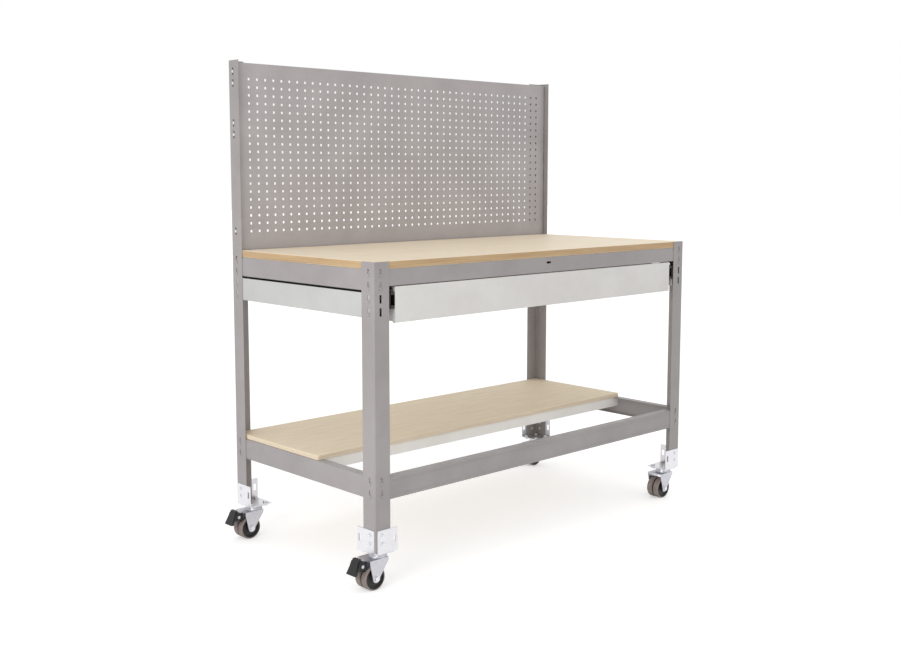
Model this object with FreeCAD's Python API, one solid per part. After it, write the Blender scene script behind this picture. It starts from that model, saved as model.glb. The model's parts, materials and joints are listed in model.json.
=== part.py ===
import FreeCAD, Part
import math
import os

from FreeCAD import Vector

# Mobile assembly table: slotted steel frame, two wooden boards, a drawer on telescopic slides,
# a perforated back panel and four twin-tread casters, two of them braked.
#
# Millimetres.  +X is to the right, +Y to the back, +Z up, and the floor is Z = 0.  The pieces are
# laid out about the middle of the frame and moved at the end, so that the origin lies under the
# middle of the footprint, brake pedals included.

# ---------------------------------------------------------------- driving dimensions
# Frame, measured over the outer faces of the posts.
table_width = 1500.0
table_depth = 740.0
worktop_height = 977.0
back_panel_top = 1589.0
back_post_rise = 7.0            # back posts above the back panel's top

# Posts: folded angle with slots in both flanges.
post_flange = 57.0
post_sheet = 2.0
post_bend = 2.0                 # inside radius of the fold
slot_length = 24.0
slot_width = 8.0
slot_line = 25.0                # from the post's outer corner to the middle of a slot
slot_pitch = 38.0
top_row_drop = 32.0             # first row of slots below the worktop's upper face
lower_row_height = 330.0
panel_row_drops = [29.0, 67.0, 195.0, 233.0]   # rows below the back panel's top
panel_row_rise = 63.0           # lowest of these rows, above the worktop's upper face

# Beams: folded channels, open towards the middle of the table.
beam_sheet = 2.0
beam_bend = 1.5
beam_top_flange = 30.0
beam_foot_flange = 15.0
panel_beam_flange = 55.0        # the upper back beam also carries the back panel
front_beam_drop = 51.0
upper_beam_drop = 63.0
lower_beam_drop = 68.0
lower_front_step = 6.0          # the lower front beam lies this much below its neighbours
lower_beam_top = 344.0
connector_width = 46.0          # part of a beam's end that hides behind the post's flange
connector_margin = 8.0          # connector below its last stud
beam_clearance = 2.0            # between a beam's end and the post's side flange

# Studs that hang beams and hangers low in the slots.
rivet_shank = 6.0
rivet_head = 10.0
rivet_head_rise = 1.8
stud_drop = 7.0                 # below the middle of a slot
beam_slot_length = 22.0         # oval slot in the middle of the upper front beam
beam_slot_width = 7.0
beam_slot_drop = 18.0           # below the beam's upper face

# Boards.
worktop_thickness = 22.0
shelf_thickness = 15.0
shelf_front = -83.0             # front edge of the lower shelf, from the table's middle
board_clearance = 0.5
shelf_side_gap = 4.0            # shelf edge inside the posts' flanges
board_corner = 6.0
board_chamfer = 1.0
board_screw_spread = 450.0      # outer board screws, from the table's middle
panel_gap = 3.0                 # between the worktop and the back panel

# Channel under the shelf's front edge.
support_width = 30.0
support_drop = 37.0
support_sheet = 1.5
support_setback = 6.0           # behind the shelf's front edge
support_plate = 33.0

# Back panel: shallow tray with a grid of square holes.
panel_sheet = 1.5
panel_depth = 35.0
panel_clearance = 2.2           # panel's sides clear the round of the posts' folds
peg_hole = 7.5
peg_pitch_x = 64.8
peg_pitch_z = 52.5
peg_columns = 22
peg_top_margin = 52.0
peg_foot_margin = 70.0          # least height from the worktop's face to the lowest row

# Drawer with its hangers and slides.
hanger_sheet = 1.5
hanger_top_gap = 11.0           # below the upper side beam
hanger_height = 68.0
hanger_leg_gap = 1.0            # inner leg from the inner edge of the posts' flanges
hanger_leg = 58.0               # height of the inner leg that carries the slide
slide_height = 50.0
slide_width = 22.0
slide_sheet = 1.5
slide_setback = 1.0             # slides' front ends behind the drawer front's face
slide_rise = 7.0                # slide's upper edge above the hanger's
slide_fit = 0.25                # running clearance of the nested members
middle_height = 42.0
inner_height = 34.0
middle_inset = 4.0              # middle member's web from the outer member's web
drawer_sheet = 1.2
drawer_length = 640.0
drawer_floor_rise = 4.0         # tray's underside above the drawer front's lower edge
drawer_wall = 92.0
drawer_front_gap = 2.0          # below the upper front beam
drawer_front_height = 107.0
drawer_front_depth = 12.0
drawer_front_lip = 16.0
front_screw_spread = 490.0      # screws of the drawer front, from the table's middle
slide_screw_inset = 72.0        # outer slide screws, from the slide's ends
drawer_screw_inset = 120.0      # inner slide screws, from the slide's ends

# Corner bracket that joins a post to its caster.
bracket_sheet = 3.0
bracket_side = 86.0
bracket_ear = 72.0              # height of the two ears
ear_start = 5.0                 # from the post's corner to the ear
ear_slot_length = 22.0
ear_slot_width = 10.0
ear_slot_line = 71.0
ear_slot_height = 41.0          # middle of an ear's slot above the bracket's underside
ear_bolt_rows = [30.0, 56.0]    # above the bracket's underside
bracket_bolt = 6.0              # shank, through the post's slot line
caster_bolt = 8.0
caster_bolt_pitch = 55.0

# Caster.
wheel_diameter = 76.0
caster_height = 113.0           # floor to the upper face of the caster's plate
caster_plate_side = 76.0
caster_plate_sheet = 3.0
race_height = 10.0
race_top_diameter = 48.0
race_foot_diameter = 54.0
swivel_gap = 0.3
fork_sheet = 3.0
crown_diameter = 56.0
crown_height = 8.0
caster_trail = 30.0             # axle behind the swivel axis, towards -X
axle_diameter = 10.0
axle_fit = 0.05                 # radial clearance of shafts in their holes
tread_width = 22.0
tread_groove = 6.0
tread_thickness = 10.0
tread_shoulder = 5.0            # bevel of a tread's shoulders
wheel_dish = 4.0
hub_diameter = 24.0
hub_gap = 0.3
fork_leg_gap = 3.0              # tread's side to the fork's leg
kingpin_diameter = 12.0
kingpin_head = 24.0
fork_rear = 54.0                # legs and bridge, from the swivel axis towards the axle's side
fork_front = 17.0               # and to the other side
fork_boss = 26.0                # round end of a fork's leg
fork_apron = 6.0                # the leg's upright edge under the crown

# Brake pedal of the two left casters.
tongue_width = 34.0             # fork's tongue, folded down at its sides, that carries the pedal
tongue_reach = 66.0             # its top, from the swivel axis
tongue_root = 48.0              # where its sides begin
tongue_side = 12.0              # height of its sides at the pivot
pedal_pivot_reach = 74.0        # from the swivel axis, towards -X
pedal_pivot_height = 82.0
pedal_pin = 6.0
pedal_pin_head = 10.0
pedal_pin_rise = 1.5
pedal_reach = 104.0             # pad's tip, from the swivel axis
pedal_tip_height = 58.0
pedal_tip_width = 42.0
pedal_top_reach = 83.0          # pad's top edge
pedal_top_height = 103.0
pedal_top_width = 28.0
pedal_pad = 9.0                 # thickness of the pad
pedal_wall = 3.0
pedal_cheek_reach = 16.0        # cheek's back edge from the pivot, towards the wheel
pedal_cheek_rise = 13.0         # back edge's top and foot, from the pivot
pedal_cheek_drop = 12.0
pedal_cam = 12.0                # thickness of the cam that bears on the treads
pedal_gap = 0.4

# Fasteners and cutters.
hex_head_rise = 0.6             # head height as a share of the shank
hex_across = 1.6                # across flats as a share of the shank
wood_screw = 4.0
wood_screw_depth = 11.0
panel_screw = 4.0
small_screw = 4.0
screw_head_rise = 2.0
screw_head = 7.6
overcut = 1.0                   # how far a cutter runs past the faces that it opens

# ---------------------------------------------------------------- derived places
half_width = table_width / 2
half_depth = table_depth / 2
post_inner_x = half_width - post_sheet
post_inner_y = half_depth - post_sheet
worktop_underside = worktop_height - worktop_thickness
slot_rows_top = [worktop_height - top_row_drop - n * slot_pitch for n in range(4)]
slot_rows_low = [lower_row_height, lower_row_height - slot_pitch]
beam_rows = [height - stud_drop for height in slot_rows_top[:2]]
hanger_rows = [height - stud_drop for height in slot_rows_top[2:]]
lower_beam_rows = [height - stud_drop for height in slot_rows_low]
panel_rows = [back_panel_top - drop for drop in panel_row_drops] + [worktop_height + panel_row_rise]
bracket_underside = caster_height
post_foot = bracket_underside + bracket_sheet
back_post_top = back_panel_top + back_post_rise
panel_front = post_inner_y - panel_depth
worktop_back = panel_front - panel_gap
hanger_top = worktop_underside - upper_beam_drop - hanger_top_gap
hanger_foot = hanger_top - hanger_height
slide_centre = hanger_top + slide_rise - slide_height / 2
slide_outer_x = half_width - post_flange - hanger_leg_gap - hanger_sheet
drawer_half_width = slide_outer_x - slide_width
drawer_front_face = -post_inner_y
drawer_front_top = worktop_underside - front_beam_drop - drawer_front_gap
drawer_front_foot = drawer_front_top - drawer_front_height
tray_front = drawer_front_face + drawer_front_depth
tray_foot = drawer_front_foot + drawer_floor_rise
slide_front = drawer_front_face + slide_setback
slide_length = tray_front + drawer_length - slide_front
tread_total = 2 * tread_width + tread_groove
fork_inner = tread_total / 2 + fork_leg_gap
fork_outer = fork_inner + fork_sheet
axle_height = wheel_diameter / 2
bracket_outer_x = half_width + bracket_sheet
bracket_outer_y = half_depth + bracket_sheet
caster_x = bracket_outer_x - bracket_side / 2
caster_y = bracket_outer_y - bracket_side / 2
pedal_overhang = pedal_reach - (half_width - caster_x)
bolt_overhang = bracket_sheet + bracket_bolt * hex_head_rise
footprint_shift = (pedal_overhang - bolt_overhang) / 2

SIDES = {"left": -1, "right": 1}
ENDS = {"front": -1, "back": 1}
CORNERS = [(end, side) for end in ENDS for side in SIDES]


# ---------------------------------------------------------------- shared shapes
def span(low, high):
    """Box between two opposite corners, given in any order."""
    start = [min(pair) for pair in zip(low, high)]
    size = [abs(a - b) for a, b in zip(low, high)]
    return Part.makeBox(*size, Vector(*start))


def rod(radius, start, direction, length):
    """Cylinder from start along direction."""
    return Part.makeCylinder(radius, length, Vector(*start), Vector(*direction))


def mirrored(shape, side, end):
    """A shape made for the right back quarter, turned to another side and end."""
    result = shape
    if side < 0:
        result = result.mirror(Vector(), Vector(1, 0, 0))
    if end < 0:
        result = result.mirror(Vector(), Vector(0, 1, 0))
    return result


def group(shapes):
    """Separate solids kept in one node."""
    solids = [solid for shape in shapes for solid in shape.Solids]
    return Part.makeCompound(solids)


def along(points, radii):
    """Edges through the points, each inner corner rounded to its own radius."""
    edges = []
    start = points[0]
    for index in range(1, len(points) - 1):
        corner = points[index]
        before = (points[index - 1] - corner).normalize()
        after = (points[index + 1] - corner).normalize()
        half_angle = before.getAngle(after) / 2
        cut_back = radii[index] / math.tan(half_angle)
        middle = (before + after).normalize()
        centre = corner + middle * (radii[index] / math.sin(half_angle))
        first = corner + before * cut_back
        last = corner + after * cut_back
        edges.append(Part.makeLine(start, first))
        edges.append(Part.Arc(first, centre - middle * radii[index], last).toShape())
        start = last
    edges.append(Part.makeLine(start, points[-1]))
    return edges


def folded_sheet(outline, sheet, bend, place, travel):
    """Sheet folded along a flat outline and drawn out along travel.

    The outline runs along one face of the sheet, whose other face lies to its left.
    place turns the outline's two numbers into a point of the table.
    """
    flat = [Vector(a, b, 0) for a, b in outline]
    headings = [(q - p).normalize() for p, q in zip(flat, flat[1:])]
    normals = [Vector(-h.y, h.x, 0) for h in headings]
    shifts = [normals[0]]
    face_radii = [0.0]
    back_radii = [0.0]
    for left, right, first, second in zip(normals, normals[1:], headings, headings[1:]):
        shifts.append((left + right) / (1 + left.dot(right)))
        turns_left = first.cross(second).z > 0
        face_radii.append(bend + sheet if turns_left else bend)
        back_radii.append(bend if turns_left else bend + sheet)
    shifts.append(normals[-1])
    back = [p + s * sheet for p, s in zip(flat, shifts)]
    to_space = [place(p.x, p.y) for p in flat]
    back_space = [place(p.x, p.y) for p in back]
    edges = along(to_space, face_radii)
    edges.append(Part.makeLine(to_space[-1], back_space[-1]))
    edges += along(back_space, back_radii)
    edges.append(Part.makeLine(back_space[0], to_space[0]))
    face = Part.Face(Part.Wire(Part.__sortEdges__(edges)))
    return face.extrude(Vector(*travel))


def hexagon(across, height, centre, direction):
    """Hexagonal prism on centre, as a bolt's head or a nut."""
    axis = Vector(*direction).normalize()
    helper = Vector(0, 0, 1) if abs(axis.z) < 0.5 else Vector(1, 0, 0)
    first = axis.cross(helper).normalize() * (across / math.sqrt(3))
    turn = FreeCAD.Rotation(axis, 60)
    points = [first]
    for _ in range(6):
        points.append(turn.multVec(points[-1]))
    outline = Part.makePolygon([Vector(*centre) + p for p in points])
    return Part.Face(outline).extrude(axis * height)


def bolt(shank, start, direction, grip):
    """Hex bolt with its nut run on: head outside start, shank through grip, nut beyond it."""
    axis = Vector(*direction).normalize()
    head_height = shank * hex_head_rise
    base = Vector(*start)
    head = hexagon(shank * hex_across, head_height, base - axis * head_height, direction)
    stem = rod(shank / 2, base, direction, grip)
    nut = hexagon(shank * hex_across, head_height, base + axis * grip, direction)
    return head.fuse([stem, nut])


def headed_pin(shank, head, rise, start, direction, length):
    """Rivet or screw: flat round head outside start, shank along direction."""
    cap = rod(head / 2, start, -Vector(*direction), rise)
    return cap.fuse(rod(shank / 2, start, direction, length))


# ---------------------------------------------------------------- frame
def cross_slots(rows):
    """Cutters for the slots in the back flange of the right back post."""
    line_x = half_width - slot_line
    near = slot_width / 2
    rise = slot_length / 2
    return [span((line_x - near, post_inner_y - overcut, height - rise),
                 (line_x + near, half_depth + overcut, height + rise)) for height in rows]


def side_slots(rows):
    """Cutters for the slots in the side flange of the right back post."""
    line_y = half_depth - slot_line
    near = slot_width / 2
    rise = slot_length / 2
    return [span((post_inner_x - overcut, line_y - near, height - rise),
                 (half_width + overcut, line_y + near, height + rise)) for height in rows]


def bracket_holes(radius):
    """Cutters for the bolts that join a post, or its bracket, at the right back corner."""
    reach = bracket_sheet + 2 * post_sheet
    cutters = []
    for rise in ear_bolt_rows:
        height = bracket_underside + rise
        line_x = half_width - slot_line
        line_y = half_depth - slot_line
        cutters.append(rod(radius, (line_x, half_depth - reach, height), (0, 1, 0), 2 * reach))
        cutters.append(rod(radius, (half_width - reach, line_y, height), (1, 0, 0), 2 * reach))
    return cutters


def post(side, end):
    """Slotted angle post; the back panel is held through the back posts' side flanges only."""
    top = back_post_top if end > 0 else worktop_height
    rows = slot_rows_top + slot_rows_low
    side_rows = rows + panel_rows if end > 0 else rows
    outline = [
        (half_width, half_depth - post_flange),
        (half_width, half_depth),
        (half_width - post_flange, half_depth),
    ]
    angle = folded_sheet(outline, post_sheet, post_bend, lambda x, y: Vector(x, y, post_foot),
                         (0, 0, top - post_foot))
    angle = angle.cut(cross_slots(rows) + side_slots(side_rows))
    angle = angle.cut(bracket_holes(bracket_bolt / 2 + axle_fit))
    return mirrored(angle, side, end)


def rivet_holes_x(rows, y_from, y_to):
    """Cutters for the rivets at both ends of a beam that runs along X."""
    return [rod(rivet_shank / 2, (side * (half_width - slot_line), y_from, height), (0, 1, 0), y_to - y_from)
            for side in SIDES.values() for height in rows]


def rivet_holes_y(rows, x_from, x_to):
    """Cutters for the rivets at both ends of a beam that runs along Y."""
    return [rod(rivet_shank / 2, (x_from, end * (half_depth - slot_line), height), (1, 0, 0), x_to - x_from)
            for end in ENDS.values() for height in rows]


def channel_outline(face, inward, top, drop, top_flange):
    """Channel section: foot flange, web on the face, top flange, all pointing inward."""
    return [
        (face + inward * beam_foot_flange, top - drop),
        (face, top - drop),
        (face, top),
        (face + inward * top_flange, top),
    ]


def cross_beam(end, top, drop, top_flange, rows):
    """Beam along X between two posts, its web behind their front or back flanges."""
    face = end * post_inner_y
    half_length = post_inner_x - beam_clearance
    outline = channel_outline(face, -end, top, drop, top_flange)
    if end < 0:
        outline.reverse()
    beam = folded_sheet(outline, beam_sheet, beam_bend, lambda y, z: Vector(-half_length, y, z),
                        (2 * half_length, 0, 0))
    connector_foot = min(rows) - connector_margin
    if connector_foot < top - drop:
        for side in SIDES.values():
            beam = beam.fuse(span((side * half_length, face, connector_foot),
                                  (side * (half_length - connector_width), face - end * beam_sheet,
                                   top - beam_bend - beam_sheet)))
        beam = beam.removeSplitter()
    reach = beam_sheet + overcut
    return beam.cut(rivet_holes_x(rows, face - reach, face + reach))


def side_beam(side, top, drop, front_flange, back_flange, rows):
    """Beam along Y; its flanges stop short of the cross beams, its web reaches the posts."""
    face = side * post_inner_x
    front = -(post_inner_y - front_flange - beam_clearance)
    back = post_inner_y - back_flange - beam_clearance
    outline = channel_outline(face, -side, top, drop, beam_top_flange)
    if side < 0:
        outline.reverse()
    body = folded_sheet(outline, beam_sheet, beam_bend, lambda x, z: Vector(x, front, z),
                        (0, back - front, 0))
    web_end = post_inner_y - beam_sheet - beam_clearance
    web = span((face, -web_end, top - drop + beam_bend + beam_sheet),
               (face - side * beam_sheet, web_end, top - beam_bend - beam_sheet))
    beam = body.fuse(web).removeSplitter()
    reach = beam_sheet + overcut
    return beam.cut(rivet_holes_y(rows, face - reach, face + reach))


def front_beam_slot():
    """Cutter for the oval slot in the middle of the upper front beam."""
    radius = beam_slot_width / 2
    reach = beam_slot_length / 2 - radius
    height = worktop_underside - beam_slot_drop
    depth = 2 * beam_sheet + post_sheet
    slot = span((-reach, -half_depth, height - radius), (reach, depth - half_depth, height + radius))
    return slot.fuse([rod(radius, (x, -half_depth, height), (0, 1, 0), depth) for x in (-reach, reach)])


def slot_rivet(centre, outward, carried_sheet):
    """Stud set in a carried sheet, through a post's slot, with its head outside the post."""
    inward = -Vector(*outward)
    return headed_pin(rivet_shank, rivet_head, rivet_head_rise, centre, inward, post_sheet + carried_sheet)


def beam_rivets():
    """All the studs that hang beams and drawer hangers in the posts' slots."""
    studs = []
    for end, side in CORNERS:
        line_x = SIDES[side] * (half_width - slot_line)
        line_y = ENDS[end] * (half_depth - slot_line)
        face_x = SIDES[side] * half_width
        face_y = ENDS[end] * half_depth
        for height in beam_rows + lower_beam_rows:
            studs.append(slot_rivet((line_x, face_y, height), (0, ENDS[end], 0), beam_sheet))
            studs.append(slot_rivet((face_x, line_y, height), (SIDES[side], 0, 0), beam_sheet))
        for height in hanger_rows:
            studs.append(slot_rivet((face_x, line_y, height), (SIDES[side], 0, 0), hanger_sheet))
    return group(studs)


# ---------------------------------------------------------------- boards
def board(low, high):
    """Wooden board with rounded corners and broken edges."""
    panel = span(low, high)
    uprights = [e for e in panel.Edges if abs(e.tangentAt(e.FirstParameter).z) > 0.5]
    panel = panel.makeFillet(board_corner, uprights)
    rims = [e for e in panel.Edges if e.BoundBox.ZLength < board_chamfer]
    return panel.makeChamfer(board_chamfer, rims)


def board_screw_places():
    """Screws up through the beams' top flanges: place, and the flange's underside."""
    flange_middle = post_inner_y - beam_top_flange / 2
    worktop_back_line = (worktop_back + post_inner_y - panel_beam_flange) / 2
    across = [-board_screw_spread, 0.0, board_screw_spread]
    top_level = worktop_underside - beam_sheet
    shelf_level = lower_beam_top - beam_sheet
    places = [(x, -flange_middle, top_level) for x in across]
    places += [(x, worktop_back_line, top_level) for x in across]
    places += [(x, flange_middle, shelf_level) for x in across]
    return places


def board_screw_cutters():
    """Holes of the board screws through flange and board."""
    reach = beam_sheet + wood_screw_depth
    return [rod(wood_screw / 2, place, (0, 0, 1), reach) for place in board_screw_places()]


def board_screws():
    """Pan-headed screws that hold both boards down."""
    reach = beam_sheet + wood_screw_depth
    return group([headed_pin(wood_screw, screw_head, screw_head_rise, place, (0, 0, 1), reach)
                  for place in board_screw_places()])


def worktop_board():
    """Worktop between the posts, ending just in front of the back panel."""
    edge = post_inner_x - board_clearance
    front = -post_inner_y + board_clearance
    top = board((-edge, front, worktop_underside), (edge, worktop_back, worktop_height))
    return top.cut(board_screw_cutters())


def lower_shelf_board():
    """Half-depth shelf on the side beams, the back beam and its own support channel."""
    edge = post_inner_x - shelf_side_gap
    back = post_inner_y - board_clearance
    shelf = board((-edge, shelf_front, lower_beam_top), (edge, back, lower_beam_top + shelf_thickness))
    return shelf.cut(board_screw_cutters())


def support_screw_places():
    """Screws through the support channel's end plates into the side beams' webs."""
    plate_face = post_inner_x - beam_sheet - support_sheet
    middle = shelf_front + support_setback + support_width / 2
    height = lower_beam_top - support_drop / 2
    return [((side * plate_face, middle, height), (side, 0, 0)) for side in SIDES.values()]


def shelf_support_beam():
    """Upturned channel under the shelf's front edge, with a plate at each end."""
    front = shelf_front + support_setback
    back = front + support_width
    foot = lower_beam_top - support_drop
    flange_edge = post_inner_x - beam_top_flange - beam_clearance
    end_face = post_inner_x - beam_sheet
    plate_inner = end_face - support_sheet
    outline = [(front, foot), (front, lower_beam_top), (back, lower_beam_top), (back, foot)]
    outline.reverse()
    beam = folded_sheet(outline, support_sheet, support_sheet, lambda y, z: Vector(-flange_edge, y, z),
                        (2 * flange_edge, 0, 0))
    tuck = lower_beam_top - beam_sheet - beam_clearance
    for side in SIDES.values():
        for face in (front, back - support_sheet):
            beam = beam.fuse(span((side * (flange_edge - support_plate), face, foot),
                                  (side * plate_inner, face + support_sheet, tuck)))
        beam = beam.fuse(span((side * plate_inner, front, foot), (side * end_face, back, tuck)))
    beam = beam.removeSplitter()
    for place, outward in support_screw_places():
        beam = beam.cut(rod(small_screw / 2, place, outward, support_sheet))
    return beam


def support_screw_cutters():
    """Holes of the support screws through the side beams' webs."""
    reach = support_sheet + beam_sheet
    return [rod(small_screw / 2, place, outward, reach) for place, outward in support_screw_places()]


def support_screws():
    """Two screws that hold the support channel."""
    reach = support_sheet + beam_sheet
    return group([headed_pin(small_screw, screw_head, screw_head_rise, place, outward, reach)
                  for place, outward in support_screw_places()])


# ---------------------------------------------------------------- back panel
def panel_screw_places():
    """Screws through the back posts' side flanges into the panel's returns."""
    line_y = half_depth - slot_line
    return [((side * half_width, line_y, height), (-side, 0, 0))
            for side in SIDES.values() for height in panel_rows]


def panel_screw_reach():
    """From the post's outer face to the panel return's inner face."""
    return post_sheet + panel_clearance + panel_sheet


def pegboard_panel():
    """Tray-shaped panel that stands on the upper back beam, pierced by a grid of square holes."""
    edge = post_inner_x - panel_clearance
    tray = span((-edge, panel_front, worktop_underside), (edge, post_inner_y, back_panel_top))
    hollow = span((-edge + panel_sheet, panel_front + panel_sheet, worktop_underside + panel_sheet),
                  (edge - panel_sheet, post_inner_y + overcut, back_panel_top - panel_sheet))
    tray = tray.cut(hollow)
    holes = []
    first_x = -(peg_columns - 1) * peg_pitch_x / 2
    first_z = back_panel_top - peg_top_margin
    peg_rows = int((first_z - worktop_height - peg_foot_margin) / peg_pitch_z) + 1
    for column in range(peg_columns):
        for row in range(peg_rows):
            x = first_x + column * peg_pitch_x
            z = first_z - row * peg_pitch_z
            holes.append(span((x - peg_hole / 2, panel_front - overcut, z - peg_hole / 2),
                              (x + peg_hole / 2, panel_front + panel_sheet + overcut, z + peg_hole / 2)))
    tray = tray.cut(Part.makeCompound(holes))
    for place, inward in panel_screw_places():
        tray = tray.cut(rod(panel_screw / 2, place, inward, panel_screw_reach()))
    return tray


def pegboard_screws():
    """Screws of the back panel, their heads wider than the posts' slots."""
    length = panel_screw_reach() + panel_screw
    return group([headed_pin(panel_screw, rivet_head, rivet_head_rise, place, inward, length)
                  for place, inward in panel_screw_places()])


# ---------------------------------------------------------------- drawer
def drawer_hanger(side):
    """Upturned channel between two posts: web in their side flanges, inner leg behind the slide."""
    outline = [
        (slide_outer_x, hanger_foot + hanger_leg),
        (slide_outer_x, hanger_foot),
        (post_inner_x, hanger_foot),
        (post_inner_x, hanger_top),
    ]
    half_length = post_inner_y - beam_clearance
    hanger = folded_sheet(outline, hanger_sheet, hanger_sheet, lambda x, z: Vector(x, -half_length, z),
                          (0, 2 * half_length, 0))
    hanger = mirrored(hanger, side, 1)
    face = side * post_inner_x
    reach = hanger_sheet + overcut
    cutters = rivet_holes_y(hanger_rows, face - reach, face + reach)
    for place, outward in slide_screw_places(side):
        cutters.append(rod(small_screw / 2, place, outward, slide_sheet + hanger_sheet))
    return hanger.cut(cutters)


def slide_member(side, web, inner_face, height, sheet, opens_out):
    """Channel of a telescopic slide, along Y from the drawer's front.

    web and inner_face are distances of its two sides from the hanger, towards the drawer.
    """
    near = slide_outer_x - web
    far = slide_outer_x - inner_face
    low = slide_centre - height / 2
    high = slide_centre + height / 2
    if opens_out:
        outline = [(near, high), (far, high), (far, low), (near, low)]
    else:
        outline = [(far, low), (near, low), (near, high), (far, high)]
    member = folded_sheet(outline, sheet, sheet / 2, lambda x, z: Vector(x, slide_front, z),
                          (0, slide_length, 0))
    return mirrored(member, side, 1)


def slide_screw_places(side):
    """Screws that hold the outer member to its hanger."""
    face = side * (slide_outer_x - slide_sheet)
    last = slide_front + slide_length - slide_screw_inset
    stations = [slide_front + slide_screw_inset, slide_front + slide_length / 2, last]
    return [((face, y, slide_centre), (side, 0, 0)) for y in stations]


def slide_outer(side):
    """Outer member, screwed to the hanger."""
    member = slide_member(side, 0.0, slide_width - slide_sheet - slide_fit, slide_height, slide_sheet, False)
    for place, outward in slide_screw_places(side):
        member = member.cut(rod(small_screw / 2, place, outward, slide_sheet))
    return member


def slide_screws():
    """Screws of both outer members."""
    screws = []
    for side in SIDES.values():
        for place, outward in slide_screw_places(side):
            screws.append(headed_pin(small_screw, screw_head, slide_sheet, place, outward,
                                     slide_sheet + hanger_sheet))
    return group(screws)


def slide_middle(side):
    """Middle member with the ball cages that run in both neighbours."""
    reach = slide_width - slide_sheet - slide_fit
    member = slide_member(side, middle_inset, reach, middle_height, slide_sheet, False)
    cages = []
    for way in (-1, 1):
        cages.append((way * middle_height / 2, way * (slide_height / 2 - slide_sheet - slide_fit)))
        cages.append((way * (middle_height / 2 - slide_sheet), way * (inner_height / 2 + slide_fit)))
    for near, far in cages:
        start_x = slide_outer_x - middle_inset - 2 * slide_sheet
        end_x = slide_outer_x - reach + slide_sheet
        cage = span((start_x, slide_front, slide_centre + near),
                    (end_x, slide_front + slide_length, slide_centre + far))
        member = member.fuse(mirrored(cage, side, 1))
    return member.removeSplitter()


def slide_inner(side):
    """Inner member, screwed to the drawer's side."""
    start = middle_inset + 2 * slide_sheet
    member = slide_member(side, start, slide_width, inner_height, slide_sheet, True)
    for place, outward in drawer_side_screw_places(side):
        member = member.cut(rod(small_screw / 2, place, outward, drawer_sheet + slide_sheet))
    return member


def drawer_side_screw_places(side):
    """Screws through the drawer's side into the slide's inner member."""
    face = side * (drawer_half_width - drawer_sheet)
    stations = [tray_front + drawer_screw_inset, tray_front + drawer_length - drawer_screw_inset]
    return [((face, y, slide_centre), (side, 0, 0)) for y in stations]


def drawer_front_screw_places():
    """Screws through the tray's front wall into the front's lips."""
    inner = tray_front + drawer_sheet
    edge = screw_head / 2 + drawer_sheet
    heights = [tray_foot + drawer_sheet + edge, tray_foot + drawer_wall - edge]
    return [((side * front_screw_spread, inner, z), (0, -1, 0)) for side in SIDES.values() for z in heights]


def drawer_tray():
    """Open-topped sheet-metal box."""
    back = tray_front + drawer_length
    top = tray_foot + drawer_wall
    tray = span((-drawer_half_width, tray_front, tray_foot), (drawer_half_width, back, top))
    inside = span((-drawer_half_width + drawer_sheet, tray_front + drawer_sheet, tray_foot + drawer_sheet),
                  (drawer_half_width - drawer_sheet, back - drawer_sheet, top + overcut))
    tray = tray.cut(inside)
    for side in SIDES.values():
        for place, outward in drawer_side_screw_places(side):
            tray = tray.cut(rod(small_screw / 2, place, outward, drawer_sheet))
    for place, outward in drawer_front_screw_places():
        tray = tray.cut(rod(small_screw / 2, place, outward, drawer_sheet))
    return tray


def drawer_front():
    """Folded front, its lips against the tray's front wall."""
    face = drawer_front_face
    back = tray_front
    outline = [
        (back, drawer_front_top - drawer_front_lip),
        (back, drawer_front_top),
        (face, drawer_front_top),
        (face, drawer_front_foot),
        (back, drawer_front_foot),
        (back, drawer_front_foot + drawer_front_lip),
    ]
    front = folded_sheet(outline, drawer_sheet, drawer_sheet, lambda y, z: Vector(-drawer_half_width, y, z),
                         (2 * drawer_half_width, 0, 0))
    for side in SIDES.values():
        rim = 2 * drawer_sheet
        cheek = span((side * drawer_half_width, face + rim, drawer_front_foot + rim),
                     (side * (drawer_half_width - drawer_sheet), back, drawer_front_top - rim))
        front = front.fuse(cheek)
    front = front.removeSplitter()
    for place, outward in drawer_front_screw_places():
        front = front.cut(rod(small_screw / 2, place, outward, 2 * drawer_sheet))
    return front


def drawer_screws():
    """Screws that join the tray to its front and to the slides."""
    front_places = drawer_front_screw_places()
    side_places = drawer_side_screw_places(-1) + drawer_side_screw_places(1)
    screws = []
    for places, length in ((front_places, 2 * drawer_sheet), (side_places, drawer_sheet + slide_sheet)):
        for place, outward in places:
            screws.append(headed_pin(small_screw, screw_head, screw_head_rise, place, outward, length))
    return group(screws)


# ---------------------------------------------------------------- corner brackets
def caster_bolt_places():
    """Bolt circle of the right back caster, as four plan positions."""
    reach = caster_bolt_pitch / 2
    return [(caster_x + u * reach, caster_y + v * reach) for u in (-1, 1) for v in (-1, 1)]


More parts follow.
